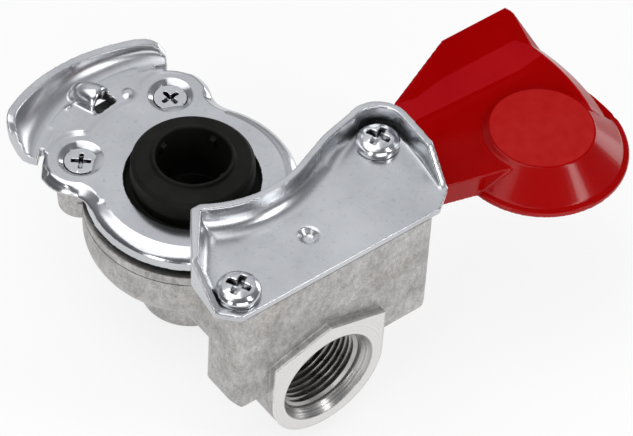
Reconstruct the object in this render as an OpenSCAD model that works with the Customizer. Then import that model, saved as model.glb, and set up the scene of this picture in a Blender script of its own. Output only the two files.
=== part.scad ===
// Palm coupling head for a trailer air brake line, with a swinging dust lid.
// The origin is on the seal axis, at the top face of the claw plate. The claw is at +Y, the port faces -Y.

/* [Seal ring] */
// Bore of the rubber ring
seal_bore_d = 17.4; // [15:0.2:20]
// Diameter of the ring where it stands above the plate
seal_d = 29; // [26:0.2:30]
// Diameter of the flange that the plate holds down
seal_flange_d = 34.6; // [33:0.2:37]
// Height of the flange
seal_flange_h = 6; // [4:0.5:7]
// Height of the outer top edge above the plate
seal_edge_h = 6; // [4:0.1:6.3]
// Height of the inner lip above the plate
seal_lip_h = 7.1; // [6.5:0.1:7.3]

/* [Claw plate] */
// Thickness of the pressed plate
plate_t = 2.5; // [2:0.1:3]
// Outer diameter of the round part
plate_d = 50.4; // [49:0.2:54]
// Diameter at which the bevelled edge starts
plate_crease_d = 43; // [41:0.2:44]
// Depth of the bevelled edge below the top face
plate_skirt = 4.2; // [3.6:0.1:5]
// Gap all round between the plate's hole and the ring
plate_hole_gap = 1.3; // [0.8:0.1:1.6]
// Radius of the circle that the plate screws sit on
lobe_place_r = 26.3; // [25:0.1:27]
// Direction midway between the plate screws, from +X
lobe_mid_angle = 98.9; // [90:0.5:105]
// Half the angle between the plate screws
lobe_half_angle = 33.5; // [31:0.5:36]
// Radius of each screw lobe
lobe_r = 10.2; // [9:0.1:11]
// Radius at which the claw leaves the plate
claw_root_r = 36; // [35:0.1:38]
// Width of the claw's trough at its leading end
claw_lead_w = 6.4; // [5:0.1:8]
// Width of the claw's trough at its trailing end
claw_tail_w = 3.8; // [3:0.1:5]
// Height of the claw at its leading end
claw_lead_h = 8.6; // [6:0.1:10]
// Height of the claw at its trailing end
claw_tail_h = 3; // [2.4:0.1:5]

/* [Body] */
// Outer radius of the bowl under the plate
bowl_r = 25.4; // [24.5:0.1:27]
// Depth of the bowl's straight wall below the plate's top
bowl_wall_z = 14.5; // [12:0.5:17]
// Radius that rounds the bowl's wall into its bottom
bowl_round_r = 10; // [8:0.5:13]
// Radius of the boss under the bowl
foot_r = 11.8; // [10:0.2:13]
// Depth of that boss below the plate's top
foot_z = 39.5; // [36:0.5:42]
// Left end of the block
block_left = 25; // [24.5:0.5:28]
// Right end of the block
block_right = 30.4; // [29:0.2:31]
// Distance from the seal axis to the block's front face
block_front = 51; // [50:0.5:56]
// Depth of the block from front to back
block_d = 12.5; // [11:0.5:14]
// Depth of the block's underside below the plate's top
block_low = 16; // [13:0.5:18]
// Radius of the clear channel that a mating claw turns in
channel_r = 41.2; // [40.6:0.1:42]

/* [Port] */
// Nominal thread diameter of the port
port_d = 22; // [18:0.5:24]
// Depth of the threaded length
port_depth = 17; // [12:0.5:20]
// Width of the boss across its flats
port_flats = 31; // [30:0.2:33]
// How far the boss stands out from the block
port_proud = 2; // [1:0.2:4]
// Depth of the port axis below the plate's top
port_z = 19.7; // [19:0.1:22]
// Diameter of the boss's mouth at its face
port_mouth_d = 25; // [24:0.2:27]
// Depth of the cone that leads into the thread
port_mouth_depth = 2.4; // [1:0.1:4]
// Diameter of the air passage behind the thread
passage_d = 16; // [12:0.5:17]

/* [Guide plate] */
// Thickness of the guide plate
guide_t = 1.8; // [1.5:0.1:2.2]
// Height of its underside above the claw plate
guide_z = 14.2; // [14.2:0.1:16]
// Height of its folded rim above its top face
guide_rim = 6.2; // [5:0.1:8]
// Radius of the concave edge that faces the seal
guide_arc_r = 28; // [27:0.1:29]
// Radius of the rounded corner over the lid's pivot
guide_corner_r = 7.8; // [7.2:0.1:8.4]
// Place of the left screw across the block
left_screw_x = 20.7; // [19.5:0.1:21]
// Distance of the left screw behind the front face
left_screw_back = 6.1; // [5.8:0.1:7]

/* [Lid] */
// Place of the lid's pivot, to the right of the seal axis
pivot_x = 31.4; // [31:0.1:32]
// Place of the lid's pivot, in front of the seal axis
pivot_y = 27.6; // [27.2:0.1:28.2]
// Distance from the pivot to the centre of the lid's cup
lid_reach = 40.3; // [39.8:0.1:41.4]
// Direction of the open lid below +X
lid_open_angle = 19.4; // [18:0.2:22]
// Height of the lid's rim above the claw plate
lid_base_z = 2.2; // [1.5:0.1:2.4]
// Height of the cup's flat top above the claw plate
lid_top_z = 10; // [10:0.1:10.6]
// Radius of the cup's flat top
lid_top_r = 12.4; // [12:0.1:13]
// Radius of the lid's rim
lid_rim_r = 21; // [20.5:0.1:22]
// Wall of the moulding
lid_wall = 1.25; // [1:0.05:1.4]
// Height of the lid's upturned wing above the claw plate
wing_top_z = 13; // [12.4:0.1:13]
// Diameter of the pivot post
pivot_d = 8; // [7.6:0.1:9]

/* [Screws] */
// Diameter of the claw plate screws
plate_screw_d = 4; // [3.5:0.5:5]
// Head diameter of the claw plate screws
plate_screw_head_d = 8; // [7.4:0.1:9]
// Diameter of the guide plate screws
guide_screw_d = 5; // [4:0.5:5]
// Head diameter of the guide plate screws
guide_screw_head_d = 10.2; // [9.4:0.1:10.6]
// Head height of the guide plate screws
guide_screw_head_h = 3.2; // [2.6:0.1:4]
// Length of the screws below their heads
screw_length = 11; // [8:0.5:12]

/* [Fits] */
// Clearance round the screws and the seal, on the radius
fit_gap = 0.1; // [0.05:0.01:0.2]
// Clearance round the countersunk heads, on the radius
head_gap = 0.25; // [0.2:0.01:0.4]
// Running clearance of the lid on its post, on the radius
pivot_gap = 0.06; // [0.02:0.01:0.1]
// Free height between the lid and what it slides between
slide_gap = 0.3; // [0.2:0.05:0.4]

/* [Hidden] */
$fn = 96;
eps = 0.01;

zinc = [0.78, 0.80, 0.84];
bright_zinc = [0.84, 0.86, 0.88];
cast_grey = [0.64, 0.63, 0.61];
rubber_black = [0.08, 0.08, 0.08];
lid_red = [0.74, 0.05, 0.05];

function polar(r, a) = [r * cos(a), r * sin(a)];

// Places shared by the pieces
lobe_angles = [lobe_mid_angle - lobe_half_angle, lobe_mid_angle + lobe_half_angle];
lobes = [for (a = lobe_angles) polar(lobe_place_r, a)];
pivot = [pivot_x, -pivot_y];
left_screw = [-left_screw_x, left_screw_back - block_front];
guide_top = guide_z + guide_t;
cavity_r = seal_flange_d / 2 + fit_gap;
cavity_z = -plate_t - seal_flange_h;
plate_hole_r = seal_d / 2 + plate_hole_gap;

// The claw plate, the seal below it and the claw
plate_r = plate_d / 2;
crease_r = plate_crease_d / 2;
dish_d = 0.8;
dish_r = plate_screw_head_d / 2 + 1.5;
lobe_bevel = 2.1;
lobe_bevel_w = 2.6;
claw_start = lobe_angles[0] - 2;
claw_end = lobe_angles[1] + 4;
claw_curl = 98;
claw_round = 0.24;
claw_sink = 0.15;
claw_t = plate_t - 2 * claw_sink;
claw_steps = 34;
claw_arc_steps = 9;
slit = 1.1;
bridge_angles = [lobe_angles[0] + 10, lobe_angles[1] - 12];
tab_angle = lobe_mid_angle - 1;
tab_l = 6.6;
tab_w = 7;
tab_tip_r = 1.9;
tab_h = 3.8;
tab_t = 0.9;
tab_hole = [4.4, 4.4];
bump_place = [2.9, lobe_place_r + 3.5];
bump_r = 3;
bump_h = 0.5;

// The body
neck_top_r = crease_r - 2;
lug_r = lobe_r - 3.8;
lug_z = bowl_wall_z;
rib_low = lug_z - 5;
bowl_top = plate_skirt + 2.3;
seam_z = bowl_top + 2.6;
seam = 0.35;
shelf_z = lid_base_z - slide_gap;
floor_z = -1.2;
floor_t = 5;
block_corner = 3;
block_chamfer = 1.8;
neck_r = 13.6;
boss_shoulder = 0.8 * port_flats / 2;
boss_apex = 1.1 * port_flats / 2;
screw_hole_extra = 1.5;
plate_recess_turns = [5, 50];
guide_recess_turns = [28, 24];

// The guide plate's outline, clockwise from its back left corner
guide_edge = guide_arc_r * 0.6;
guide_back_left = [-guide_edge - 1.2, -guide_arc_r * 0.83];
guide_left_knee = [-block_left - 2, -block_front + 15];
guide_left_low = [-block_left - 3.4, -block_front + 4.4];
guide_front_left = [-block_left + 0.6, -block_front];
guide_front_right = [block_right + 0.6, -block_front];
guide_right_low = [block_right + 6, -block_front + 4];
guide_right_knee = pivot + [guide_corner_r - 0.8, -10.5];
dimple_place = [2, -(channel_r - 0.8)];
dimple_r = 2.7;
dimple_deep = 0.8;

// The lid, laid out along its arm: X from the pivot to the cup, Y towards the side that leads when it closes
lid_lip = 1.4;
lid_lip_t = 1.4;
lid_roof_t = 1.15;
lid_step = 1.2;
lid_roof_z = lid_top_z - lid_step;
lid_lip_z = lid_base_z + lid_lip_t;
cup_foot_r = lid_rim_r - lid_lip;
cup_slope = (cup_foot_r - lid_top_r) / (lid_top_z - lid_lip_z);
cup_from = -158;
cup_to = 10;
hub_r = pivot_d / 2 + 2.6;
eye_r = 11;
arm_front = [[0, -eye_r], [lid_reach, 2.6 - eye_r]];
mouth_r = norm(pivot) + seal_d / 2 + 2 * slide_gap + lid_wall;
mouth_end = 28.6;
mouth_slope = 1.13;
mouth_low_z = lid_top_z - 5.3;
mouth_top_r = mouth_r - (lid_top_z - mouth_low_z) / mouth_slope;
fold_low = [[lid_reach - 30, 9], [lid_reach - 17.8, 13.1], [lid_reach + 1.5, 18.6]];
fold_mid = [[lid_reach - 26, 16.1], [lid_reach - 17, 20.9], [lid_reach + 3.4, 28.1]];
wing_left = [lid_reach - 31, 15.9];
wing_back = [[lid_reach - 14.2, 30], [lid_reach + 4, 36.3]];
wing_right = [lid_reach + 5.2, 34.9];

module at_places(places) {
    for (p = places)
        translate(p)
            children();
}

// Cross recess of a screw head, cut down from z = 0
module cross_recess(size, arm, deep) {
    for (a = [0, 90])
        rotate(a)
            translate([-size / 2, -arm / 2, -deep])
                cube([size, arm, deep + 1]);
}

// Slab shaped as a sector out to radius r, between two angles under 180 degrees apart
module sector(r, from, to, t) {
    far = 2 * r;
    intersection() {
        cylinder(r = r, h = t);
        linear_extrude(t)
            polygon([[0, 0], polar(far, from), polar(far, (from + to) / 2), polar(far, to)]);
    }
}

module seal_ring() {
    bore_r = seal_bore_d / 2;
    top_r = seal_d / 2 - 0.1;
    lug = [1.3, 1.6, 2.2];
    color(rubber_black) {
        rotate_extrude()
            polygon([
                [bore_r, cavity_z], [cavity_r - fit_gap, cavity_z], [cavity_r - fit_gap, -plate_t],
                [seal_d / 2 - 0.8, -plate_t], [seal_d / 2 - 0.8, 0.2], [seal_d / 2, 1],
                [top_r, seal_edge_h - 1], [top_r - 0.9, seal_edge_h], [bore_r + 1.5, seal_lip_h],
                [bore_r + 0.4, seal_lip_h], [bore_r, seal_lip_h - 0.5]]);
        for (a = [20 : 90 : 290])
            rotate(a)
                translate([bore_r - lug[0] + 0.4, -lug[1] / 2, 1.5])
                    cube(lug);
    }
}

// Sheet of the claw as rings of points: concave side out along the curl, convex side back
function claw_blunt(u) = let (d = max(0, abs(2 * u - 1) - (1 - claw_round)) / claw_round)
    sqrt(max(0.03, 1 - d * d));
function claw_w(u) = (claw_tail_w + (claw_lead_w - claw_tail_w) * u) * (0.3 + 0.7 * claw_blunt(u));
function claw_h(u) = (claw_tail_h + (claw_lead_h - claw_tail_h) * u * u) * claw_blunt(u);
function claw_point(u, f, t) = let (
    a = claw_start + (claw_end - claw_start) * u,
    h = claw_h(u),
    p = polar(claw_root_r + (claw_w(u) + t) * sin(f), a)
) [p[0], p[1], h - (h + t) * cos(f) - claw_sink];
function claw_ring(u) = concat(
    [for (i = [0 : claw_arc_steps]) claw_point(u, claw_curl * i / claw_arc_steps, 0)],
    [for (i = [claw_arc_steps : -1 : 0]) claw_point(u, claw_curl * i / claw_arc_steps, claw_t)]);

module claw() {
    n = 2 * (claw_arc_steps + 1);
    points = [for (k = [0 : claw_steps]) each claw_ring(k / claw_steps)];
    sides = [for (k = [0 : claw_steps - 1], i = [0 : n - 1])
        let (j = (i + 1) % n, a = k * n, b = a + n)
        each [[a + i, b + j, a + j], [a + i, b + i, b + j]]];
    first = [for (i = [0 : n - 1]) i];
    last = [for (i = [n - 1 : -1 : 0]) claw_steps * n + i];
    polyhedron(points, concat(sides, [first], [last]), convexity = 6);
}

// Round part of the plate with its bevelled and turned down edge
module plate_disc() {
    rotate_extrude()
        polygon([
            [plate_hole_r, 0], [crease_r, 0], [plate_r - 0.5, -plate_skirt + 1.8],
            [plate_r, -plate_skirt + 1], [plate_r, -plate_skirt], [plate_r - 1.4, -plate_skirt],
            [plate_r - 1.7, -plate_skirt + 0.9], [crease_r - 0.4, -plate_t], [plate_hole_r, -plate_t]]);
}

module lobe() {
    translate([0, 0, -plate_t])
        cylinder(r = lobe_r, h = plate_t - lobe_bevel);
    translate([0, 0, -lobe_bevel])
        cylinder(r1 = lobe_r, r2 = lobe_r - lobe_bevel_w, h = lobe_bevel);
}

// Flap lanced up out of the plate beside the claw, domed at its raised tip
module tab() {
    rotate(tab_angle)
        translate([claw_root_r - tab_w, 0, 0])
            hull() {
                translate([0.6, tab_l, -plate_t / 2])
                    cube([tab_w - 1.2, tab_t, plate_t / 2]);
                translate([tab_w / 2, tab_tip_r, tab_h - tab_tip_r])
                    sphere(tab_tip_r, $fn = 28);
                translate([tab_w / 2, 0.6, 0])
                    cylinder(r = tab_tip_r, h = plate_t / 2, $fn = 28);
            }
}

module tab_opening() {
    rotate(tab_angle)
        translate([claw_root_r - tab_w + 0.6, -tab_hole[0] + 1.6, -plate_t - 1])
            cube([tab_hole[1], tab_hole[0], plate_t + 2]);
}

// Raised pip pressed up out of the plate
module bump() {
    translate([bump_place[0], bump_place[1], bump_h - bump_r])
        intersection() {
            sphere(bump_r);
            translate([-bump_r, -bump_r, bump_r - bump_h - 0.6])
                cube([2 * bump_r, 2 * bump_r, 2]);
        }
}

// Hollow corner between a lobe and the round part, with the bevel carried round it
module web_corner(lobe_a, side) {
    r = 6;
    a = plate_r + r;
    b = lobe_r + r;
    turn = acos((a * a + lobe_place_r * lobe_place_r - b * b) / (2 * a * lobe_place_r));
    centre = polar(a, lobe_a + side * turn);
    lobe_at = polar(lobe_place_r, lobe_a);
    difference() {
        translate([0, 0, -plate_t])
            linear_extrude(plate_t)
                polygon([polar(plate_hole_r + 2, lobe_a), lobe_at, centre,
                         polar(plate_hole_r + 2, lobe_a + side * turn)]);
        translate([centre[0], centre[1], -plate_t - 1])
            cylinder(r = r, h = plate_t + 2);
        translate([centre[0], centre[1], -lobe_bevel])
            cylinder(r1 = r, r2 = r + lobe_bevel_w + 0.4, h = lobe_bevel + eps);
    }
}

module claw_plate() {
    rim_r = claw_root_r - slit;
    color(zinc)
    difference() {
        union() {
            plate_disc();
            intersection() {
                at_places(lobes)
                    lobe();
                translate([0, 0, -plate_t - 1])
                    cylinder(r = rim_r, h = plate_t + 2);
            }
            translate([0, 0, -plate_t]) {
                sector(rim_r, lobe_angles[0], lobe_angles[1], plate_t);
                sector(claw_root_r + 0.6, bridge_angles[0], bridge_angles[1], plate_t);
            }
            web_corner(lobe_angles[0], -1);
            web_corner(lobe_angles[1], 1);
            bump();
            claw();
            difference() {
                tab();
                translate([0, 0, -plate_t - 1])
                    cylinder(r = lobe_place_r, h = plate_t);
            }
        }
        translate([0, 0, -plate_t - 1])
            cylinder(r = plate_hole_r, h = plate_t + 2);
        tab_opening();
        at_places(lobes)
            translate([0, 0, -plate_skirt - 1])
                cylinder(r = lug_r + 0.5, h = plate_skirt + 1 - plate_t);
        at_places(lobes) {
            translate([0, 0, -dish_d])
                cylinder(r1 = plate_screw_head_d / 2 + head_gap, r2 = dish_r, h = dish_d + eps);
            translate([0, 0, -plate_t - 1])
                cylinder(d = plate_screw_d + 2 * fit_gap, h = plate_t + 2);
            translate([0, 0, -dish_d - plate_head_h()])
                cylinder(d1 = plate_screw_d + 2 * head_gap, d2 = plate_screw_head_d + 2 * head_gap,
                         h = plate_head_h() + eps);
        }
    }
}

// Height of the countersunk head's cone
function plate_head_h() = min(plate_t - dish_d - 0.2, (plate_screw_head_d - plate_screw_d) / 2);

module claw_plate_screws() {
    color(bright_zinc)
    for (i = [0, 1])
        translate([lobes[i][0], lobes[i][1], -dish_d])
            difference() {
                union() {
                    translate([0, 0, -plate_head_h()])
                        cylinder(d1 = plate_screw_d, d2 = plate_screw_head_d, h = plate_head_h());
                    translate([0, 0, -screw_length])
                        cylinder(d = plate_screw_d, h = screw_length - plate_head_h() + eps);
                }
                rotate(plate_recess_turns[i])
                    cross_recess(0.58 * plate_screw_head_d, 0.12 * plate_screw_head_d, 1.6);
            }
}

module guide_plate_screws() {
    crown_r = guide_screw_head_d / 2;
    crown_h = guide_screw_head_h;
    places = [left_screw, pivot];
    color(bright_zinc)
    for (i = [0, 1])
        translate([places[i][0], places[i][1], guide_top])
            difference() {
                union() {
                    rotate_extrude()
                        polygon([
                            [0, 0], [crown_r, 0], [crown_r, 0.45 * crown_h], [crown_r - 0.4, 0.66 * crown_h],
                            [crown_r - 1.3, 0.86 * crown_h], [crown_r - 2.8, crown_h], [0, crown_h]]);
                    translate([0, 0, -screw_length])
                        cylinder(d = guide_screw_d, h = screw_length + eps);
                }
                translate([0, 0, crown_h])
                    rotate(guide_recess_turns[i])
                        cross_recess(0.56 * guide_screw_head_d, 0.15 * guide_screw_head_d, 2.2);
            }
}

// Half profile of the bowl, with its rounded bottom and foot
module bowl_profile() {
    round_x = bowl_r - bowl_round_r;
    translate([0, -bowl_top - 1])
        square([neck_top_r, bowl_top + 1 - plate_t]);
    translate([0, -bowl_wall_z])
        square([bowl_r, bowl_wall_z - bowl_top]);
    translate([0, -bowl_wall_z - bowl_round_r])
        square([round_x, bowl_round_r]);
    intersection() {
        translate([round_x, -bowl_wall_z])
            circle(bowl_round_r);
        translate([round_x - eps, -bowl_wall_z - bowl_round_r])
            square([bowl_round_r + eps, bowl_round_r]);
    }
    translate([0, -foot_z])
        square([foot_r, foot_z - bowl_wall_z]);
}

// Rectangle with rounded corners, between two corner points
module round_rect(a, b, r) {
    translate([a[0] + r, a[1]])
        square([b[0] - a[0] - 2 * r, b[1] - a[1]]);
    translate([a[0], a[1] + r])
        square([b[0] - a[0], b[1] - a[1] - 2 * r]);
    for (x = [a[0] + r, b[0] - r], y = [a[1] + r, b[1] - r])
        translate([x, y])
            circle(r);
}

// Block that carries the guide plate, chamfered along its lower ends
module block() {
    tall = guide_z + block_low;
    intersection() {
        translate([0, 0, -block_low])
            linear_extrude(tall)
                round_rect([-block_left, -block_front], [block_right, block_d - block_front], block_corner);
        translate([0, block_d - block_front + 1, 0])
            rotate([90, 0, 0])
                linear_extrude(block_d + 2)
                    polygon([
                        [-block_left, guide_z], [block_right, guide_z],
                        [block_right, block_chamfer - block_low],
                        [block_right - block_chamfer, -block_low], [block_chamfer - block_left, -block_low],
                        [-block_left, block_chamfer - block_low]]);
    }
}

// Lays a shape drawn in the XZ plane on the front of the block, running back from y
module along_port(y, length) {
    translate([0, y + length, -port_z])
        rotate([90, 0, 0])
            linear_extrude(length)
                children();
}

module port_boss() {
    half = port_flats / 2;
    along_port(-block_front - port_proud, port_proud + block_d) {
        circle(half);
        polygon([[-half, 0], [-half, boss_shoulder], [0, boss_apex], [half, boss_shoulder], [half, 0]]);
    }
}

// Floor that joins the bowl, the block and the pivot's shelf
module channel_floor() {
    translate([0, 0, floor_z - floor_t])
        linear_extrude(floor_t)
            polygon([
                [-neck_r, 0], [-neck_r, block_d - block_front - 2], [block_right, block_d - block_front - 2],
                pivot + [4, -4], pivot + [4, 4], [bowl_r * 0.7, -bowl_r * 0.6], [neck_r, 0]]);
}

// Room for the claw plate's round part and its turned down edge
module plate_room() {
    wide = plate_r + 0.4;
    translate([0, 0, -plate_t])
        cylinder(r = wide, h = 20);
    translate([0, 0, -plate_skirt - 0.4])
        difference() {
            cylinder(r = wide, h = plate_skirt);
            translate([0, 0, -1])
                cylinder(r = neck_top_r, h = plate_skirt + 2);
            at_places(lobes)
                translate([0, 0, -1])
                    cylinder(r = lug_r + 0.1, h = plate_skirt + 2);
        }
}

module body() {
    color(cast_grey)
    difference() {
        union() {
            rotate_extrude()
                bowl_profile();
            at_places(lobes)
                translate([0, 0, -lug_z])
                    cylinder(r1 = lug_r - 1, r2 = lug_r, h = lug_z - plate_t);
            translate([0, 0, -rib_low])
                sector(claw_root_r - 2 * slit, lobe_angles[0], lobe_angles[1], rib_low - plate_t - 0.8);
            along_port(block_d - block_front - 1, block_front - block_d + 1)
                circle(neck_r);
            difference() {
                block();
                translate([0, 0, floor_z])
                    cylinder(r = channel_r, h = guide_z);
                translate([pivot[0], pivot[1], shelf_z])
                    cylinder(r = eye_r + slide_gap + 0.5, h = guide_z);
            }
            port_boss();
            channel_floor();
            translate([pivot[0], pivot[1], floor_z - floor_t - 6])
                cylinder(r = eye_r - 1.5, h = shelf_z - floor_z + floor_t + 6);
            translate([pivot[0], pivot[1], shelf_z - eps])
                cylinder(d = pivot_d, h = guide_z - shelf_z + eps);
        }
        plate_room();
        translate([0, 0, cavity_z])
            cylinder(r = cavity_r, h = 20);
        translate([0, 0, -port_z])
            cylinder(d = seal_bore_d, h = port_z);
        translate([0, 0, -seam_z])
            difference() {
                cylinder(r = bowl_r + 1, h = seam);
                translate([0, 0, -1])
                    cylinder(r = bowl_r - seam, h = seam + 2);
                translate([0, -block_front, -1])
                    cube([2 * block_front, 2 * (block_front - bowl_r + 6), seam + 2], center = true);
            }
        along_port(-block_front - port_proud - 1, block_front + port_proud + 1 + passage_d / 2)
            circle(d = passage_d);
        along_port(-block_front - port_proud - 1, port_depth + 1)
            circle(d = port_d);
        translate([0, -block_front - port_proud - eps, -port_z])
            rotate([-90, 0, 0])
                cylinder(d1 = port_mouth_d, d2 = port_d, h = port_mouth_depth);
        at_places(lobes)
            translate([0, 0, -dish_d - screw_length - screw_hole_extra])
                cylinder(d = plate_screw_d + 2 * fit_gap, h = screw_length + screw_hole_extra);
        at_places([left_screw, pivot])
            translate([0, 0, guide_top - screw_length - screw_hole_extra])
                cylinder(d = guide_screw_d + 2 * fit_gap, h = screw_length + screw_hole_extra);
        translate([dimple_place[0], dimple_place[1], guide_z - dimple_deep - 0.4])
            cylinder(r = dimple_r + 0.4, h = dimple_deep + 1);
    }
}

// Guide plate outline, drawn inwards by a distance
module guide_outline(inset) {
    difference() {
        union() {
            polygon([
                guide_back_left + [inset * 1.2, -inset * 0.6], guide_left_knee + [inset, 0],
                guide_left_low + [inset, 0], guide_front_left, guide_front_right,
                guide_right_low + [-inset, 0], guide_right_knee + [-inset, 0],
                pivot + [guide_corner_r - inset, 0], pivot + [0, guide_corner_r - inset],
                pivot + [-guide_edge, 4.2 - inset]]);
            translate(pivot)
                circle(guide_corner_r - inset);
        }
        circle(guide_arc_r + inset);
    }
}

// Cuts that run the rim out to nothing at the two front corners
module rim_runout() {
    high = guide_rim + 1;
    translate([0, 0, guide_top]) {
        translate([-block_left - 10, -block_front - 1, 0])
            rotate([90, 0, 90])
                linear_extrude(20)
                    polygon([[-1, 0], [5, 0], [16.5, guide_rim], [16.5, high], [-1, high]]);
        translate([block_right - 4, -block_front - 1, 0])
            rotate([90, 0, 90])
                linear_extrude(20)
                    polygon([[-1, 0], [5.5, 0], [13.5, guide_rim], [13.5, high], [-1, high]]);
        translate([-block_left + 4, -block_front - 1, 0])
            cube([block_left + block_right - 9, 8, high]);
    }
}

module guide_plate() {
    color(zinc)
    difference() {
        union() {
            translate([0, 0, guide_z])
                linear_extrude(guide_t)
                    guide_outline(0);
            difference() {
                translate([0, 0, guide_top - eps])
                    linear_extrude(guide_rim)
                        difference() {
                            guide_outline(0);
                            guide_outline(guide_t);
                        }
                rim_runout();
            }
            translate([dimple_place[0], dimple_place[1], guide_z - dimple_deep])
                cylinder(r1 = dimple_r - 1.2, r2 = dimple_r, h = dimple_deep + eps);
        }
        translate([dimple_place[0], dimple_place[1], guide_top - dimple_deep])
            cylinder(r1 = dimple_r - 1.8, r2 = dimple_r, h = dimple_deep + eps);
        at_places([left_screw, pivot])
            translate([0, 0, guide_z - 1])
                cylinder(d = guide_screw_d + 2 * fit_gap, h = guide_t + 2);
    }
}

// Sloping side of the cup, at a height
function cup_r(z) = lid_top_r + (lid_top_z - z) * cup_slope;

// Cup and its rim, cut open below the roof on the side where the ring comes in
module cup() {
    difference() {
        rotate_extrude()
            polygon([
                [0, lid_top_z], [lid_top_r, lid_top_z], [cup_foot_r, lid_lip_z], [lid_rim_r, lid_lip_z],
                [lid_rim_r, lid_base_z], [0, lid_base_z]]);
        translate([0, 0, lid_base_z - 1])
            sector(2 * lid_rim_r, cup_to, cup_from + 360, lid_roof_z - 0.3 - lid_base_z + 1);
    }
}

// Room kept free inside the cup
module cup_room() {
    under = lid_top_z - lid_roof_t;
    translate([0, 0, lid_base_z - 1])
        cylinder(r = cup_foot_r - lid_wall, h = lid_lip_z - lid_base_z + 1 + eps);
    translate([0, 0, lid_lip_z])
        cylinder(r1 = cup_foot_r - lid_wall, r2 = cup_r(under) - lid_wall, h = under - lid_lip_z);
}

// Side of the open mouth, turned about the pivot so that the ring can pass along it
module mouth_wall() {
    t = lid_wall * mouth_slope;
    top = lid_top_z - 0.08;
    begin = 2.5;
    rotate([0, 0, begin])
        rotate_extrude(angle = mouth_end - begin)
            polygon([
                [mouth_r - lid_wall, lid_base_z + 0.1], [mouth_r, lid_base_z + 0.1], [mouth_r, mouth_low_z],
                [mouth_top_r, top], [mouth_top_r - 3, lid_roof_z - 0.1], [mouth_top_r - 3, top - t - 0.4],
                [mouth_top_r, top - t], [mouth_r - lid_wall, mouth_low_z]]);
    translate([0, 0, lid_base_z + 0.05])
        linear_extrude(lid_lip_t - 0.1)
            difference() {
                polygon([
                    [lid_reach, 0], [lid_reach, 0] + polar(lid_rim_r - 0.6, cup_to - 4),
                    [lid_reach, 0] + polar(lid_rim_r - 0.05, 14),
                    [lid_reach, 0] + polar(lid_rim_r + 0.1, 24), polar(mouth_r + 0.3, mouth_end)]);
                circle(mouth_r - lid_wall / 2);
                translate([lid_reach, 0])
                    circle(cup_foot_r - lid_wall / 2);
            }
}

// Roof up to the second fold, and the raised flat between the folds
module roof() {
    translate([0, 0, lid_roof_z - lid_roof_t])
        intersection() {
            cylinder(r = mouth_top_r - 0.3, h = lid_roof_t);
            linear_extrude(lid_roof_t)
                polygon([
                    [0, -eye_r], arm_front[1] - [8, 0.5], arm_front[1], [lid_reach + 9, 0],
                    polar(2 * lid_reach, 4), polar(2 * lid_reach, mouth_end), fold_mid[2], fold_mid[1],
                    fold_mid[0], wing_left, [0, eye_r]]);
        }
}

module fold_flat() {
    over = [0, 0.4];
    slope = [0.4, -1.6];
    back = [polar(2 * lid_reach, mouth_end - 4), polar(2 * lid_reach, mouth_end), fold_mid[2] + over,
            fold_mid[1] + over, fold_mid[0] + over, wing_left];
    intersection() {
        cylinder(r = mouth_top_r - 0.3, h = lid_top_z);
        hull() {
            translate([0, 0, lid_roof_z - lid_roof_t / 2])
                linear_extrude(lid_roof_t / 2)
                    polygon(concat([for (p = fold_low) p + slope], back));
            translate([0, 0, lid_top_z - 0.2])
                linear_extrude(0.2)
                    polygon(concat(fold_low, back));
        }
    }
}

// Upturned wing: flat facets of one thickness between the second fold and the free edge
module wing() {
    z = lid_top_z;
    thin = lid_wall / 2;
    corner = polar(mouth_r - thin, mouth_end - 1.2);
    root = polar(mouth_top_r - 0.3, mouth_end - 1.2);
    top = [
        [wing_left[0], wing_left[1], z], [wing_back[0][0], wing_back[0][1], wing_top_z],
        [wing_back[1][0], wing_back[1][1], wing_top_z], [wing_right[0], wing_right[1], wing_top_z - 0.4],
        [corner[0], corner[1], mouth_low_z + 0.1], [root[0], root[1], z - thin / 2],
        [fold_mid[2][0], fold_mid[2][1], z], [fold_mid[1][0], fold_mid[1][1], z],
        [fold_mid[0][0], fold_mid[0][1], z]];
    n = len(top);
    low = [for (i = [0 : n - 1]) top[i] - [0, 0, i == 4 || i == 5 ? thin : lid_roof_t]];
    facets = [[0, 1, 8], [1, 7, 8], [1, 2, 7], [2, 6, 7], [2, 3, 6], [3, 5, 6], [3, 4, 5]];
    under = [for (f = facets) [f[2] + n, f[1] + n, f[0] + n]];
    rim = [for (i = [0 : n - 1]) let (j = (i + 1) % n) [i, i + n, j + n, j]];
    polyhedron(concat(top, low), concat(facets, under, rim));
}

// Round eye and straight front wall of the arm
module arm_walls() {
    inner = eye_r - lid_wall;
    translate([0, 0, lid_base_z])
        linear_extrude(lid_roof_z - lid_base_z) {
            difference() {
                circle(eye_r);
                circle(inner);
            }
            polygon([
                arm_front[0], arm_front[1], arm_front[1] + [0, lid_wall], arm_front[0] + [0, lid_wall]]);
        }
    translate([0, 0, lid_base_z])
        cylinder(r = hub_r, h = guide_z - slide_gap - lid_base_z);
    translate([0, 0, lid_roof_z - lid_roof_t])
        cylinder(r = eye_r, h = lid_roof_t);
}

module lid() {
    color(lid_red)
    translate(pivot)
        rotate(-lid_open_angle)
            difference() {
                union() {
                    difference() {
                        union() {
                            arm_walls();
                            roof();
                            translate([lid_reach, 0, 0])
                                cup();
                        }
                        translate([lid_reach, 0, 0])
                            cup_room();
                    }
                    fold_flat();
                    mouth_wall();
                    wing();
                }
                translate([0, 0, lid_base_z - 1])
                    cylinder(d = pivot_d + 2 * pivot_gap, h = guide_z + 2);
            }
}

body();
seal_ring();
claw_plate();
claw_plate_screws();
guide_plate();
guide_plate_screws();
lid();
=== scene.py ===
"""Looks of the palm coupling head: materials, formed pieces, the port's thread, studio light and camera."""
import math

import bmesh
import bpy
from mathutils import Matrix, Vector


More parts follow.
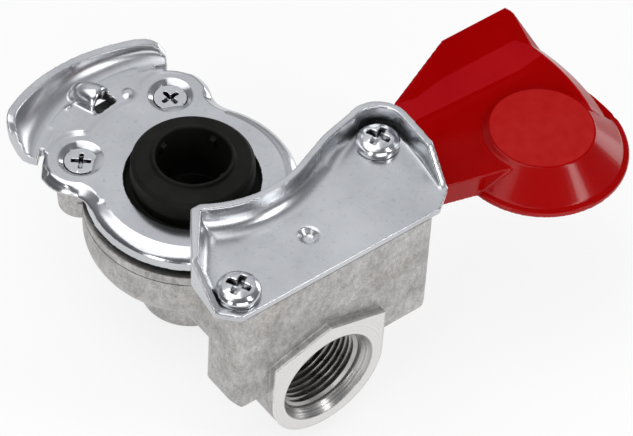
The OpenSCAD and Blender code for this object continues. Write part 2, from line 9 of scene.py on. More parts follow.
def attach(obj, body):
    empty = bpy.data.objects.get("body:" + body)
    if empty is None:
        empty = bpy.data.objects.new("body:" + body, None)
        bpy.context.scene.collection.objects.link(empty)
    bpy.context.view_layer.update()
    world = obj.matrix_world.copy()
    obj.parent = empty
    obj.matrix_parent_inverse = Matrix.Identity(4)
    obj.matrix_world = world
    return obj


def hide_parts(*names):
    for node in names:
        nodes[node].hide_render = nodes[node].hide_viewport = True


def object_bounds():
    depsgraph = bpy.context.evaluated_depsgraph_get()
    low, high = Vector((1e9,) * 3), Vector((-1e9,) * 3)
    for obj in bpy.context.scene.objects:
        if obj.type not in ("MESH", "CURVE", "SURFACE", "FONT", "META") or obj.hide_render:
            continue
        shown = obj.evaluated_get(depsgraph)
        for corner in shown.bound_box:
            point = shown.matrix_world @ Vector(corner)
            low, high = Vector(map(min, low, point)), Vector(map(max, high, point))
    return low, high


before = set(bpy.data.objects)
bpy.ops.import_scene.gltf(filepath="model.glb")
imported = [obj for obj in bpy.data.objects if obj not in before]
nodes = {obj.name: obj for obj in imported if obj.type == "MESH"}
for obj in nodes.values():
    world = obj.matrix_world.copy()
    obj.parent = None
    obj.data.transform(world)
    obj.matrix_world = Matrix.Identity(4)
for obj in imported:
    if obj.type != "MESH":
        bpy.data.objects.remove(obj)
start_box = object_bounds()
scene = bpy.context.scene
MM = 0.001

# Places that the CAD model sets. Centre of the lid's cone and a point on the port's axis, in metres
CUP = (0.0694, -0.0410, 0)
PORT = (0, 0, -0.0197)
# The rest in mm and degrees: claw plate's screws and scoop, guide plate's face and rim, lid's pivot and turn
SEAT_R, SEAT_ANGLES = 26.3, (65.4, 132.4)
SCOOP_ANGLE = 97.9
GUIDE_TOP, RIM_HIGH = 16, 6.2
PIVOT, PIVOT_R = (31.4, -27.6), 6.2
LID_TURN = -19.4


class Graph:
    """One material and small helpers to build its shader graph."""

    def __init__(self, name):
        self.mat = bpy.data.materials.new(name)
        self.mat.use_nodes = True
        self.tree = self.mat.node_tree
        self.tree.nodes.clear()
        self.out = self.add("ShaderNodeOutputMaterial")
        self.shader = self.add("ShaderNodeBsdfPrincipled")
        self.link(self.shader, "BSDF", self.out, "Surface")
        self.coord = self.add("ShaderNodeTexCoord")

    def add(self, kind, **values):
        node = self.tree.nodes.new(kind)
        for key, value in values.items():
            setattr(node, key, value)
        return node

    def link(self, a, a_name, b, b_name):
        self.tree.links.new(a.outputs[a_name], b.inputs[b_name])

    def set(self, **values):
        """Plain values on the shader, with _ for a space in a socket's name."""
        for key, value in values.items():
            self.shader.inputs[key.replace("_", " ")].default_value = value

    def noise(self, scale, detail=3.0, rough=0.5, stretch=(1, 1, 1)):
        """Noise over the object's own coordinates, with scale in features a metre."""
        place = self.add("ShaderNodeMapping")
        place.inputs["Scale"].default_value = stretch
        self.link(self.coord, "Object", place, "Vector")
        tex = self.add("ShaderNodeTexNoise")
        tex.inputs["Scale"].default_value = scale
        tex.inputs["Detail"].default_value = detail
        tex.inputs["Roughness"].default_value = rough
        self.link(place, "Vector", tex, "Vector")
        return tex

    def ramp(self, source, output, stops):
        """Colour ramp fed by a value: stops are (place, colour)."""
        node = self.add("ShaderNodeValToRGB")
        band = node.color_ramp
        while len(band.elements) < len(stops):
            band.elements.new(0.5)
        for element, (place, colour) in zip(band.elements, stops):
            element.position = place
            element.color = (*colour, 1) if len(colour) == 3 else colour
        self.link(source, output, node, "Fac")
        return node

    def range(self, source, output, low, high, to_low, to_high):
        """Value moved from one range to another, and kept in it."""
        node = self.add("ShaderNodeMapRange")
        for key, value in (("From Min", low), ("From Max", high), ("To Min", to_low), ("To Max", to_high)):
            node.inputs[key].default_value = value
        self.link(source, output, node, "Value")
        return node

    def mix(self, kind, factor, a, a_name, b, b_name):
        """Blend of two colours by a fixed amount."""
        node = self.add("ShaderNodeMix", data_type="RGBA", blend_type=kind)
        node.inputs["Factor"].default_value = factor
        self.tree.links.new(a.outputs[a_name], node.inputs["A"])
        self.tree.links.new(b.outputs[b_name], node.inputs["B"])
        return node

    def lerp(self, factor, factor_name, a, a_name, b, b_name):
        """Blend of two colours by a value."""
        node = self.add("ShaderNodeMix", data_type="RGBA")
        self.tree.links.new(factor.outputs[factor_name], node.inputs["Factor"])
        self.tree.links.new(a.outputs[a_name], node.inputs["A"])
        self.tree.links.new(b.outputs[b_name], node.inputs["B"])
        return node

    def sum(self, a, a_name, b, b_name):
        node = self.add("ShaderNodeMath", operation="ADD", use_clamp=True)
        self.tree.links.new(a.outputs[a_name], node.inputs[0])
        self.tree.links.new(b.outputs[b_name], node.inputs[1])
        return node

    def times(self, a, a_name, b, b_name):
        node = self.add("ShaderNodeMath", operation="MULTIPLY")
        self.tree.links.new(a.outputs[a_name], node.inputs[0])
        self.tree.links.new(b.outputs[b_name], node.inputs[1])
        return node

    def axis(self, name):
        """One axis of the object's own coordinates, in metres."""
        node = self.add("ShaderNodeSeparateXYZ")
        self.link(self.coord, "Object", node, "Vector")
        return node, name

    def away(self, x, y, z, flat=(1, 1, 1)):
        """Distance in mm from a point, measured along the axes that flat keeps."""
        place = self.add("ShaderNodeMapping")
        place.inputs["Location"].default_value = tuple(-c * f / MM for c, f in zip((x, y, z), flat))
        place.inputs["Scale"].default_value = tuple(f / MM for f in flat)
        self.link(self.coord, "Object", place, "Vector")
        node = self.add("ShaderNodeVectorMath", operation="LENGTH")
        self.link(place, "Vector", node, "Vector")
        return node

    def deep(self, reach, low, high):
        """Painted shade for slots and corners: a colour darkened by how little of the sky they see within a reach
        in mm.
        """
        node = self.add("ShaderNodeAmbientOcclusion", samples=8)
        node.inputs["Distance"].default_value = reach * MM
        return self.ramp(node, "AO", [(low, (0.04, 0.04, 0.04)), (high, (1, 1, 1))])

    def surface(self, edge, *bumps):
        """Rounded edges of a radius in mm, then bumps: (source, output, strength, depth in mm)."""
        name = "Normal"
        if edge:
            node = self.add("ShaderNodeBevel", samples=6)
            node.inputs["Radius"].default_value = edge * MM
        else:
            node = self.add("ShaderNodeNewGeometry")
        for source, output, strength, depth in bumps:
            bump = self.add("ShaderNodeBump")
            bump.inputs["Strength"].default_value = strength
            bump.inputs["Distance"].default_value = depth * MM
            self.link(source, output, bump, "Height")
            self.link(node, name, bump, "Normal")
            node = bump
        self.link(node, name, self.shader, "Normal")


def cast_metal():
    """Cast skin all over, with the boss's front face and mouth turned bright, and painted shade in corners, in the
    port's bore and down the passage under the seal ring.
    """
    g = Graph("cast_aluminium")
    mottle = g.noise(150, 4, 0.6)
    grain = g.noise(2300, 3, 0.6)
    blotch = g.noise(800, 4, 0.7, (1, 1, 0.6))
    pores = g.noise(1500, 1.5, 0.4)
    tone = g.ramp(mottle, "Fac", [(0.3, (0.43, 0.42, 0.41)), (0.5, (0.55, 0.54, 0.53)), (0.72, (0.66, 0.65, 0.64))])
    fine = g.ramp(blotch, "Fac", [(0.34, (0.66, 0.65, 0.64)), (0.62, (1, 1, 1))])
    dots = g.ramp(pores, "Fac", [(0.27, (0.40, 0.39, 0.38)), (0.34, (1, 1, 1))])
    mixed = g.mix("MULTIPLY", 0.8, tone, "Color", fine, "Color")
    pitted = g.mix("MULTIPLY", 0.4, mixed, "Result", dots, "Color")
    speck = g.ramp(grain, "Fac", [(0.34, (0.70, 0.69, 0.69)), (0.56, (1, 1, 1))])
    specked = g.mix("MULTIPLY", 0.75, pitted, "Result", speck, "Color")
    tint = g.ramp(g.noise(70, 2, 0.5), "Fac", [(0.35, (1.0, 0.985, 0.975)), (0.6, (0.985, 0.99, 1.0))])
    skin = g.mix("MULTIPLY", 1.0, specked, "Result", tint, "Color")
    from_axis = g.away(*PORT, flat=(1, 0, 1))
    rings = g.add("ShaderNodeTexNoise", noise_dimensions="1D")
    rings.inputs["Scale"].default_value = 4.5
    rings.inputs["Detail"].default_value = 2.0
    g.link(from_axis, "Value", rings, "W")
    faced = g.ramp(rings, "Fac", [(0.3, (0.66, 0.645, 0.63)), (0.7, (0.79, 0.775, 0.76))])
    # Painted shade: the bore takes the turned face's tone, darkened inside the port.
    shaded_bore_tone = g.ramp(rings, "Fac", [(0.3, (0.34, 0.33, 0.32)), (0.7, (0.56, 0.55, 0.54))])
    y_axis, y_name = g.axis("Y")
    face = g.range(y_axis, y_name, -0.0523, -0.0527, 0, 1)
    round_port = g.range(from_axis, "Value", 12.7, 12.6, 0, 1)
    front = g.range(y_axis, y_name, -0.030, -0.032, 0, 1)
    bore = g.times(round_port, "Result", front, "Result")
    smooth = g.sum(face, "Result", bore, "Value")
    cut_tone = g.lerp(bore, "Value", faced, "Color", shaded_bore_tone, "Color")
    colour = g.lerp(smooth, "Value", skin, "Result", cut_tone, "Result")
    # Painted shade: the casting's colour is darkened in corners and slots that see little sky.
    shade = g.mix("MULTIPLY", 1.0, colour, "Result", g.deep(14, 0.10, 0.50), "Color")
    # Painted shade down the passage under the seal ring: near black within 9.2 mm of the seal's axis and higher
    # than z = -30 mm.
    inner = g.range(g.away(0, 0, 0, flat=(1, 1, 0)), "Value", 9.2, 9.6, 0, 1)
    z_axis, z_name = g.axis("Z")
    under = g.range(z_axis, z_name, -0.0300, -0.0305, 0, 1)
    out_of_passage = g.sum(inner, "Result", under, "Result")
    passage_shade = g.ramp(out_of_passage, "Value", [(0, (0.07, 0.07, 0.07)), (1, (1, 1, 1))])
    full = g.mix("MULTIPLY", 1.0, shade, "Result", passage_shade, "Color")
    g.link(full, "Result", g.shader, "Base Color")
    rough = g.range(smooth, "Value", 0, 1, 0.48, 0.27)
    g.link(rough, "Result", g.shader, "Roughness")
    g.set(Metallic=0.85)
    calm = g.range(smooth, "Value", 0, 1, 1, 0.05)
    skin_bump = g.times(grain, "Fac", calm, "Result")
    blotch_bump = g.times(blotch, "Fac", calm, "Result")
    ring_bump = g.times(rings, "Fac", smooth, "Value")
    g.surface(0.6, (skin_bump, "Value", 0.35, 0.12), (blotch_bump, "Value", 0.5, 0.25),
              (ring_bump, "Value", 0.25, 0.06))
    return g.mat


def machined():
    """Bare cut metal of the thread."""
    g = Graph("cut_thread")
    cloud = g.noise(300, 3)
    tone = g.ramp(cloud, "Fac", [(0.3, (0.38, 0.37, 0.36)), (0.7, (0.50, 0.49, 0.48))])
    g.link(tone, "Color", g.shader, "Base Color")
    rough = g.range(cloud, "Fac", 0.3, 0.7, 0.24, 0.36)
    g.link(rough, "Result", g.shader, "Roughness")
    g.set(Metallic=1.0)
    return g.mat


def zinc(name, dark, light, rough_low, rough_high, slot_shade=None, worn=None):
    """Zinc plate, with painted shade deep in slots, and duller away from the seal's axis: worn is (from, to, least,
    most).
    """
    g = Graph(name)
    cloud = g.noise(60, 4, 0.55)
    fleck = g.noise(900, 3, 0.6)
    dents = g.noise(38, 2, 0.4)
    tone = g.ramp(cloud, "Fac", [(0.3, dark), (0.7, light)])
    spots = g.ramp(fleck, "Fac", [(0.28, (0.80, 0.80, 0.81)), (0.42, (1, 1, 1))])
    mixed = g.mix("MULTIPLY", 0.6, tone, "Color", spots, "Color")
    # Painted shade: the zinc is darkened deep in slots and recesses.
    if slot_shade:
        mixed = g.mix("MULTIPLY", 1.0, mixed, "Result", g.deep(*slot_shade), "Color")
    g.link(mixed, "Result", g.shader, "Base Color")
    rough, rough_name = g.range(cloud, "Fac", 0.3, 0.7, rough_low, rough_high), "Result"
    if worn:
        outer = g.range(g.away(0, 0, 0, flat=(1, 1, 0)), "Value", *worn)
        rough, rough_name = g.sum(rough, rough_name, outer, "Result"), "Value"
    g.link(rough, rough_name, g.shader, "Roughness")
    g.set(Metallic=1.0)
    g.surface(0, (dents, "Fac", 0.35, 0.7), (fleck, "Fac", 0.06, 0.05))
    return g.mat


def rubber():
    """Matte black rubber."""
    g = Graph("rubber")
    cloud = g.noise(160, 4)
    grain = g.noise(2200, 3, 0.6)
    tone = g.ramp(cloud, "Fac", [(0.3, (0.006, 0.006, 0.005)), (0.7, (0.012, 0.012, 0.010))])
    g.link(tone, "Color", g.shader, "Base Color")
    rough = g.range(grain, "Fac", 0.3, 0.7, 0.44, 0.58)
    g.link(rough, "Result", g.shader, "Roughness")
    g.shader.inputs["Specular IOR Level"].default_value = 0.09
    g.surface(0, (grain, "Fac", 0.12, 0.05))
    return g.mat


def red_plastic():
    """Glossy red moulding, rougher where it lies flat high up, with a lighter red painted there as sheen."""
    g = Graph("red_plastic")
    cloud = g.noise(60, 3)
    skin = g.noise(420, 3, 0.5)
    # The first red is the plain one; the next two are lighter reds painted on the flat tops as sheen, the second on
    # the cup's top.
    deep = g.ramp(cloud, "Fac", [(0.3, (0.290, 0.0004, 0.0005)), (0.7, (0.330, 0.0008, 0.0009))])
    band = g.ramp(cloud, "Fac", [(0.3, (0.36, 0.003, 0.006)), (0.7, (0.40, 0.006, 0.009))])
    crown_sheen = g.ramp(skin, "Fac", [(0.3, (0.40, 0.009, 0.009)), (0.7, (0.43, 0.014, 0.013))])
    shape = g.add("ShaderNodeNewGeometry")
    parts = g.add("ShaderNodeSeparateXYZ")
    g.link(shape, "Normal", parts, "Vector")
    level = g.range(parts, "Z", 0.975, 0.995, 0, 1)
    z_axis, z_name = g.axis("Z")
    high = g.range(z_axis, z_name, 0.0093, 0.0096, 0, 1)
    flat_tops = g.times(level, "Result", high, "Result")
    inside = g.range(g.away(*CUP, flat=(1, 1, 0)), "Value", 12.6, 12.3, 0, 1)
    flats = g.lerp(inside, "Result", band, "Color", crown_sheen, "Color")
    # Painted sheen: flat tops high up take the lighter reds.
    colour = g.lerp(flat_tops, "Value", deep, "Color", flats, "Result")
    g.link(colour, "Result", g.shader, "Base Color")
    rough = g.range(flat_tops, "Value", 0, 1, 0.17, 0.34)
    g.link(rough, "Result", g.shader, "Roughness")
    near = g.range(g.away(*CUP, flat=(1, 1, 0)), "Value", 23, 22, 0.22, 0.27)
    slant = g.range(parts, "Z", 0.80, 0.92, 1, 0.10)
    side = g.add("ShaderNodeVectorMath", operation="DOT_PRODUCT")
    side.inputs[1].default_value = (0.332, 0.943, 0)
    g.link(g.coord, "Object", side, "Vector")
    lead = g.range(side, "Value", -0.0136, -0.0106, 1, 0.2)
    gloss = g.times(near, "Result", slant, "Result")
    shine = g.times(gloss, "Value", lead, "Result")
    g.shader.inputs["Specular IOR Level"].default_value = 0.15
    g.link(shine, "Value", g.shader, "Specular IOR Level")
    g.set(IOR=1.48, Subsurface_Weight=0.06, Subsurface_Radius=(0.8, 0.05, 0.03), Subsurface_Scale=0.001)
    g.surface(0, (skin, "Fac", 0.04, 0.05))
    return g.mat


def paint(name, material):
    """Material on a CAD node."""
    mesh = nodes[name].data
    mesh.materials.clear()
    mesh.materials.append(material)


ZINC_DARK, ZINC_LIGHT = (0.50, 0.51, 0.53), (0.62, 0.63, 0.65)
metal = cast_metal()
plate = zinc("zinc_plate", ZINC_DARK, ZINC_LIGHT, 0.14, 0.22, worn=(32.5, 35.5, 0, 0.13))
tray = zinc("zinc_tray", ZINC_DARK, ZINC_LIGHT, 0.21, 0.32)
# The screws' zinc gets painted shade in its cross recesses and other slots.
bright = zinc("zinc_screw", (0.54, 0.55, 0.57), (0.68, 0.69, 0.71), 0.13, 0.21, (2.2, 0.24, 0.58))
cut = machined()
black = rubber()
red = red_plastic()
paint("body", metal)
paint("seal_ring", black)
paint("claw_plate", plate)
paint("guide_plate", tray)
paint("claw_plate_screws", bright)
paint("guide_plate_screws", bright)
paint("lid", red)


# Pressed and moulded pieces: copies of CAD nodes with real bends and rounded edges
def put(name, bm):
    """New object from a bmesh, which is used up."""
    mesh = bpy.data.meshes.new(name)
    bmesh.ops.recalc_face_normals(bm, faces=bm.faces)
    bm.to_mesh(mesh)
    bm.free()
    obj = bpy.data.objects.new(name, mesh)
    scene.collection.objects.link(obj)
    return obj


def settled(obj):
    """The object's mesh with its modifiers worked in."""
    graph = bpy.context.evaluated_depsgraph_get()
    return bpy.data.meshes.new_from_object(obj.evaluated_get(graph))


def welded(node):
    """Closed copy of a CAD node's mesh."""
    bm = bmesh.new()
    bm.from_mesh(nodes[node].data)
    bmesh.ops.remove_doubles(bm, verts=bm.verts, dist=0.001 * MM)
    bmesh.ops.recalc_face_normals(bm, faces=bm.faces)
    return bm


def sweep(bm, rows, closed=False):
    """Closed solid through rows of points in mm: each row is one loop of the section."""
    loops = [[bm.verts.new([c * MM for c in p]) for p in row] for row in rows]
    for a, b in zip(loops, loops[1:] + (loops[:1] if closed else [])):
        for i in range(len(a)):
            j = (i + 1) % len(a)
            bm.faces.new((a[i], a[j], b[j], b[i]))
    if not closed:
        bm.faces.new(loops[0])
        bm.faces.new(loops[-1])


def turned(bm, profile, centre=(0, 0), span=(0, 360), steps=120):
    """Solid of revolution about an upright axis, from (radius, height) points in mm."""
    whole = span[1] - span[0] == 360
    count = steps if whole else steps + 1
    rows = []
    for k in range(count):
        a = math.radians(span[0] + (span[1] - span[0]) * k / steps)
        rows.append([(centre[0] + r * math.cos(a), centre[1] + r * math.sin(a), z) for r, z in profile])
    sweep(bm, rows, whole)


def less(bm, rows):
    """The solid with a swept solid cut away."""
    cutter = bmesh.new()
    sweep(cutter, rows)
    base, tool = put("base", bm), put("tool", cutter)
    cut_away = base.modifiers.new("cut_away", "BOOLEAN")
    cut_away.operation = "DIFFERENCE"
    cut_away.solver = "EXACT"
    cut_away.object = tool
    mesh = settled(base)
    left = bmesh.new()
    left.from_mesh(mesh)
    for obj in (base, tool):
        bpy.data.objects.remove(obj)
    bpy.data.meshes.remove(mesh)
    return left


def formed(name, bm, node, body, material, voxel=0.28, rounds=7, keep=0.6, shift=None, calm=()):
    """One smooth skin over overlapping solids, with rounded edges, in place of a CAD node."""
    obj = put(name, bm)
    fuse = obj.modifiers.new("fuse", "REMESH")
    fuse.mode = "VOXEL"
    fuse.voxel_size = voxel * MM
    fuse.use_smooth_shade = True
    soften = obj.modifiers.new("soften", "SMOOTH")
    soften.factor, soften.iterations = 0.5, rounds
    if shift:
        mesh = settled(obj)
        obj.modifiers.clear()
        for v in mesh.vertices:
            v.co = v.co + Vector(shift(*(v.co / MM))) * MM
        obj.data = mesh
    if calm:
        group = obj.vertex_groups.new(name="calm")
        for v in obj.data.vertices:
            near = max(1 - ease(math.hypot(v.co.x / MM - x, v.co.y / MM - y), r - 2, r) for x, y, r in calm)
            if near > 0:
                group.add([v.index], near, "REPLACE")
        more = obj.modifiers.new("more", "SMOOTH")
        more.factor, more.iterations, more.vertex_group = 0.5, 40, group.name
    thin = obj.modifiers.new("thin", "DECIMATE")
    thin.ratio = keep
    shade = obj.modifiers.new("shade", "WEIGHTED_NORMAL")
    shade.weight = 50
    mesh = settled(obj)
    obj.modifiers.clear()
    obj.vertex_groups.clear()
    obj.data = mesh
    mesh.materials.clear()
    mesh.materials.append(material)
    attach(obj, body)
    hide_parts(node)


def ease(value, low, high):
    """Smooth step from 0 at low to 1 at high."""
    t = min(1, max(0, (value - low) / (high - low)))
    return t * t * (3 - 2 * t)


def around(radius, angle):
    """Point in mm on a circle about the seal's axis."""
    a = math.radians(angle)
    return radius * math.cos(a), radius * math.sin(a)


def bulge(r_in, r_out, low, deep, drop=0.0):
    """Section of a rounded shoulder from a flat top at r_in down to r_out."""
    wide = r_out + 0.15 - r_in
    arc = []
    for k in range(13):
        r = r_in + (r_out - r_in) * k / 12
        arc.append((r, -deep * (1 - math.sqrt(max(0, 1 - ((r - r_in) / wide) ** 2))) - drop * k / 12 - 0.02))
    return [p for p in arc if p[1] > low] + [(r_out - 0.1, low), (r_out - 1.2, low), (r_in, -0.8)]


def claw_pressing():
    """Claw plate with rounded shoulders and a domed scoop pressed up beside the claw."""
    a = math.radians(SCOOP_ANGLE)
    out = Vector((math.cos(a), math.sin(a), 0))
    along = Vector((-math.sin(a), math.cos(a), 0))
    mouth_r, mouth_t, turn = 31.3, -0.4, math.radians(18)
    long, wide, tall, skin, sunk = 7.6, 3.9, 4.0, 0.95, 0.7
    seats = [around(SEAT_R, angle) for angle in SEAT_ANGLES]
    corners = [(*around(29, angle), 6.5) for angle in (36, 161.8)]

    def at(r, t, z):
        return tuple(out * r + along * t + Vector((0, 0, z)))

    def scoop(ahead, aside, z):
        return at(mouth_r + ahead * math.cos(turn) - aside * math.sin(turn),
                  mouth_t + ahead * math.sin(turn) + aside * math.cos(turn), z)

    # Cut off the plain tab, and open the hole before the scoop
    block = [[at(28.6, t, 0.03), at(35.0, t, 0.03), at(35.0, t, 6), at(28.6, t, 6)] for t in (-2.2, 8.3)]
    mouth = [[at(29.0, t, -4), at(33.0, t, -4), at(33.0, t, 1), at(29.0, t, 1)] for t in (-3.4, 2.4)]
    bm = less(less(welded("claw_plate"), block), mouth)
    # Shoulders round the plate and its two screw lobes, and strips that close the slits' inner ends
    turned(bm, bulge(20.6, 25.15, -2.4, 2.6, 0.5))
    for seat, angle in zip(seats, SEAT_ANGLES):
        turned(bm, bulge(6.4, 10.15, -2.3, 3.0), seat, (angle + 43, angle + 317))
    for span in ((118, 131.5), (69, 78)):
        turned(bm, [(34.4, -0.1), (36.4, -0.1), (36.4, -2.2), (34.4, -2.2)], span=span, steps=24)
    # Scoop: an arched shell that rises from its toe to an open mouth
    rows = []
    for k in range(21):
        u = k / 20
        rise = math.sqrt(max(0, 1 - ((u - 0.2) / 0.8) ** 2)) if u > 0.2 else 1 - 0.12 * ((0.2 - u) / 0.2) ** 2
        half = wide * (1 - 0.3 * u * u)
        loop = []
        for shrink, order in ((0, range(17)), (skin, range(16, -1, -1))):
            for i in order:
                v = math.pi * i / 16
                high = max(0.05, tall * rise - shrink)
                loop.append(scoop(long * u, (half - shrink) * math.cos(v), (high + sunk) * math.sin(v) - sunk))
        rows.append(loop)
    sweep(bm, rows)

    def step(x, y, z):
        """Lift of the plate near the claw, away from the screws."""
        if z < -0.9:
            return (0, 0, 0)
        rise = ease(math.hypot(x, y), 26.6, 29.0) * ease(z, -0.9, -0.3)
        for sx, sy in seats:
            rise *= ease(math.hypot(x - sx, y - sy), 6.6, 9.0)
        return (0, 0, 0.45 * rise)

    formed("claw_pressing", bm, "claw_plate", "housing", plate, shift=step, calm=corners)


def rim_height(x, y):
    """Height in mm of the guide plate's rim, which runs out at its two front corners."""
    if x < -15:
        return min(RIM_HIGH, max(0, RIM_HIGH * (y + 47) / 11.5))
    if x > 26.4:
        return min(RIM_HIGH, max(0, RIM_HIGH * (y + 46.5) / 8))
    return RIM_HIGH


def guide_pressing():
    """Guide plate with the inner bend of its folded rim."""
    ring = [(math.cos(2 * math.pi * k / 40), math.sin(2 * math.pi * k / 40)) for k in range(40)]
    bm = less(welded("guide_plate"), [[(2 + r * x, -40.4 + r * y, z) for x, y in ring]
                                      for r, z in ((1.2, 14.6), (2.6, 16.1))])
    # The rim's inner edge, found as chains of edges between the face and the rim's wall
    top = GUIDE_TOP * MM
    links, normals = {}, {}
    for edge in bm.edges:
        if len(edge.link_faces) != 2 or any(abs(v.co.z - top) > 0.03 * MM for v in edge.verts):
            continue
        walls = [f for f in edge.link_faces if abs(f.normal.z) < 0.1 and f.calc_center_median().z > top]
        flats = [f for f in edge.link_faces if f.normal.z > 0.9]
        if len(walls) != 1 or len(flats) != 1:
            continue
        a, b = edge.verts
        links.setdefault(a, []).append(b)
        links.setdefault(b, []).append(a)
        for v in (a, b):
            normals.setdefault(v, []).append(walls[0].normal.copy())
    chains, seen = [], set()
    ends = [v for v in links if len(links[v]) == 1]
    for first in ends or list(links)[:1]:
        if first in seen:
            continue
        chain, here = [], first
        while here is not None:
            chain.append(here)
            seen.add(here)
            here = next((v for v in links[here] if v not in seen), None)
        chains.append(chain)
    # A cove along each chain, tighter where the rim runs out and round the pivot's screw
    up = Vector((0, 0, 1))
    for chain in chains:
        rows = []
        for v in chain:
            n = sum(normals[v], Vector()).normalized()
            spread = n.dot(normals[v][0])
            p = v.co / MM
            off = math.hypot(p.x - PIVOT[0], p.y - PIVOT[1]) - PIVOT_R
            r = max(0.15, min(4.0, 0.65 * rim_height(p.x, p.y), 0.8 + 0.7 * max(0, off),
                             1.4 if p.x > 30 else 4.0))
            n = n / max(0.5, spread)
            centre = p + n * r + up * r
            loop = [p - n * 0.4 - up * 0.4, p + n * r - up * 0.4]
            for k in range(9):
                a = math.radians(90 * k / 8)
                loop.append(centre - n * r * math.sin(a) - up * r * math.cos(a))
            loop.append(p + up * r - n * 0.4)
            rows.append([tuple(q) for q in loop])
        if len(rows) > 1:
            sweep(bm, rows)

    def curve(x, y, z):
        """Push that rounds off the kink in the rim."""
        kink_x, kink_y, across_x, across_y, push = 15.74, -23.16, 0.39, -0.92, 0.7
        along = (x - kink_x) * -across_y + (y - kink_y) * across_x
        inwards = (x - kink_x) * across_x + (y - kink_y) * across_y
        near = max(0, 1 - abs(along) / 6) ** 2 * (1 - ease(inwards, 2.5, 7))
        return (across_x * push * near, across_y * push * near, 0)

    formed("guide_pressing", bm, "guide_plate", "housing", tray, shift=curve)


def lid_moulding():
    """Lid with rounded edges, and a slope that leads up from its roof to the first fold."""
    bm = welded("lid")
    turn = math.radians(LID_TURN)
    base, roof, ridge = 8.3, 8.78, 9.95

    def at(x, y, z):
        return (PIVOT[0] + x * math.cos(turn) - y * math.sin(turn),
                PIVOT[1] + x * math.sin(turn) + y * math.cos(turn), z)

    fold = [(10.3, 9.0), (22.5, 13.1), (41.8, 18.6), (48.0, 21.5)]
    toe = [(1.3, -5.1), (1.3, -5.1), (1.3, -5.1), (1.9, -4.2)]
    sweep(bm, [[at(x, y + 0.3, base), at(x, y + 0.3, ridge), at(x + dx, y + dy, roof), at(x + dx, y + dy, base)]
               for (x, y), (dx, dy) in zip(fold, toe)])
    formed("lid_moulding", bm, "lid", "lid", red, rounds=5)


def ring_moulding():
    """Seal ring with rounded edges, a lip round its bore and lugs below the lip."""
    bm = bmesh.new()
    turned(bm, [(8.7, -8.5), (17.3, -8.5), (17.3, -2.5), (13.7, -2.5), (13.7, 0.2), (14.5, 1), (14.4, 5.0),
                (13.5, 6.0), (10.2, 6.4), (9.75, 6.5), (9.6, 7.4), (9.2, 7.5), (8.8, 7.4), (8.7, 7.0)])
    for angle in (20, 110, 200, 290):
        a = math.radians(angle)
        out, along = Vector((math.cos(a), math.sin(a), 0)), Vector((-math.sin(a), math.cos(a), 0))
        sweep(bm, [[tuple(out * r + along * t + Vector((0, 0, z))) for r, t in ((7.5, -0.8), (9.3, -0.8),
                                                                              (9.3, 0.8), (7.5, 0.8))]
                   for z in (3.4, 5.7)])
    formed("ring_moulding", bm, "seal_ring", "housing", black, voxel=0.24, rounds=3, keep=0.4)


claw_pressing()
guide_pressing()
lid_moulding()
ring_moulding()
formed("plate_screw_heads", welded("claw_plate_screws"), "claw_plate_screws", "housing", bright,
       voxel=0.16, rounds=3, keep=0.35)
formed("guide_screw_heads", welded("guide_plate_screws"), "guide_plate_screws", "housing", bright,
       voxel=0.18, rounds=5, keep=0.35)


def thread(mouth_y, axis_z, wall_r, crest_r, pitch, turns, steps=96):
    """Port thread: one helical ridge standing in from the wall of the port, with sizes in mm."""
    mesh = bpy.data.meshes.new("port_thread")
    verts, faces = [], []
    root_r = wall_r - 0.02
    section = [(0, -0.46), (1, -0.1), (1, 0.1), (0, 0.46)]
    total = int(turns * steps)
    for i in range(total + 1):
        a = 2 * math.pi * i / steps
        along = pitch * i / steps
        grown = min(1, max(0.02, i / (0.8 * steps)), max(0.02, (total - i) / (0.3 * steps)))
        for high, off in section:
            r = root_r + (crest_r - root_r) * high * grown
            y = mouth_y + along + off * grown * pitch
            verts.append((r * math.cos(a) * MM, y * MM, (axis_z + r * math.sin(a)) * MM))
    n = len(section)
    for i in range(total):
        for k in range(n):
            j = (k + 1) % n
            a, b = i * n, (i + 1) * n
            faces.append((a + k, a + j, b + j, b + k))
    faces.append(tuple(range(n))[::-1])
    faces.append(tuple(total * n + k for k in range(n)))
    mesh.from_pydata(verts, [], faces)
    mesh.update()
    obj = bpy.data.objects.new("port_thread", mesh)
    scene.collection.objects.link(obj)
    mesh.materials.append(cut)
    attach(obj, "housing")


thread(mouth_y=-50.4, axis_z=-19.7, wall_r=11.0, crest_r=10.1, pitch=1.5, turns=9)


# Floor, light and camera
def background_ray(tree):
    """One for rays that show the background: straight, mirrored or passed through."""
    path = tree.nodes.new("ShaderNodeLightPath")
    last = path.outputs["Is Camera Ray"]
    for name in ("Is Glossy Ray", "Is Transmission Ray"):
        node = tree.nodes.new("ShaderNodeMath")
        node.operation = "MAXIMUM"
        tree.links.new(last, node.inputs[0])
        tree.links.new(path.outputs[name], node.inputs[1])
        last = node.outputs["Value"]
    return node


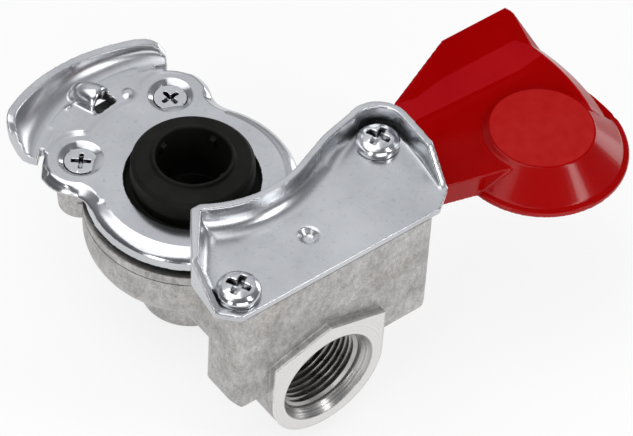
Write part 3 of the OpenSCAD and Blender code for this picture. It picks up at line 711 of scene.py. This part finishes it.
def flat(name, size, place, colour, rough):
    """Pale floor that takes the part's shadow and looks nearly white."""
    mesh = bpy.data.meshes.new(name)
    h = size / 2
    mesh.from_pydata([(-h, -h, 0), (h, -h, 0), (h, h, 0), (-h, h, 0)], [], [(0, 1, 2, 3)])
    obj = bpy.data.objects.new(name, mesh)
    obj.location = place
    scene.collection.objects.link(obj)
    g = Graph(name)
    cloud = g.noise(3, 2)
    tone = g.ramp(cloud, "Fac", [(0.3, colour), (0.7, tuple(min(1, c * 1.02) for c in colour))])
    g.link(tone, "Color", g.shader, "Base Color")
    g.set(Roughness=rough)
    g.shader.inputs["Specular IOR Level"].default_value = 0.0
    glow = g.add("ShaderNodeEmission")
    glow.inputs["Color"].default_value = (1, 1, 1, 1)
    glow.inputs["Strength"].default_value = 1.0
    blend = g.add("ShaderNodeMixShader")
    seen = g.range(background_ray(g.tree), "Value", 0, 1, 0, 0.8)
    g.link(seen, "Result", blend, "Fac")
    g.tree.links.new(g.shader.outputs["BSDF"], blend.inputs[1])
    g.tree.links.new(glow.outputs["Emission"], blend.inputs[2])
    g.link(blend, "Shader", g.out, "Surface")
    mesh.materials.append(g.mat)


def softbox(name, place, aim, size, power):
    """Area lamp at a place, turned towards a point."""
    lamp = bpy.data.lights.new(name, "AREA")
    lamp.shape = "RECTANGLE"
    lamp.size, lamp.size_y = size
    lamp.energy = power
    obj = bpy.data.objects.new(name, lamp)
    obj.location = place
    obj.rotation_euler = (Vector(aim) - Vector(place)).to_track_quat("-Z", "Y").to_euler()
    scene.collection.objects.link(obj)


flat("floor", 6, (0, 0, start_box[0].z - 0.0005), (0.93, 0.93, 0.93), 0.9)

# Sky: dim low down, and bright above and behind, where the zinc plate mirrors it
world = bpy.data.worlds.new("studio")
scene.world = world
world.use_nodes = True
wt = world.node_tree
wt.nodes.clear()
w_out = wt.nodes.new("ShaderNodeOutputWorld")
w_lit = wt.nodes.new("ShaderNodeBackground")
w_place = wt.nodes.new("ShaderNodeTexCoord")
w_dot = wt.nodes.new("ShaderNodeVectorMath")
w_dot.operation = "DOT_PRODUCT"
w_dot.inputs[1].default_value = (0.40, 0.52, 0.755)
w_ramp = wt.nodes.new("ShaderNodeValToRGB")
w_band = w_ramp.color_ramp
w_band.elements[0].position, w_band.elements[0].color = 0.25, (0.16, 0.16, 0.17, 1)
w_band.elements[1].position, w_band.elements[1].color = 0.95, (0.82, 0.83, 0.85, 1)
w_middle = w_band.elements.new(0.70)
w_middle.color = (0.30, 0.305, 0.32, 1)
wt.links.new(w_place.outputs["Generated"], w_dot.inputs[0])
wt.links.new(w_dot.outputs["Value"], w_ramp.inputs["Fac"])
wt.links.new(w_ramp.outputs["Color"], w_lit.inputs["Color"])
wt.links.new(w_lit.outputs["Background"], w_out.inputs["Surface"])

softbox("key", (-0.30, 0.14, 0.98), (0.02, -0.01, 0), (1.0, 1.0), 5.2)
softbox("strip", (0.36, -0.70, 0.61), (0.02, -0.02, 0), (0.14, 0.5), 1.9)
softbox("front", (-0.30, -0.95, 0.25), (0.02, -0.03, -0.01), (0.8, 0.5), 3.6)
softbox("left", (-0.95, -0.35, 0.35), (0.0, -0.02, -0.01), (0.25, 0.6), 2.2)
softbox("side", (1.1, 0.05, 0.10), (0.05, -0.03, 0), (0.6, 0.5), 3.2)

# Camera fitted to the photo: its axes and its place
right = Vector((0.7945, -0.6057, 0.0436))
up = Vector((0.4311, 0.6132, 0.6620))
ahead = Vector((0.4277, 0.5071, -0.7483))
place = Vector((-344.1, -453.1, 629.5)) * MM
cam_data = bpy.data.cameras.new("camera")
cam_data.sensor_width = 36
cam_data.lens = 209.66
cam_data.clip_start, cam_data.clip_end = 0.05, 20
cam = bpy.data.objects.new("camera", cam_data)
cam.matrix_world = Matrix((
    (right.x, up.x, -ahead.x, place.x),
    (right.y, up.y, -ahead.y, place.y),
    (right.z, up.z, -ahead.z, place.z),
    (0, 0, 0, 1)))
scene.collection.objects.link(cam)
scene.camera = cam
scene.view_settings.view_transform = "Standard"
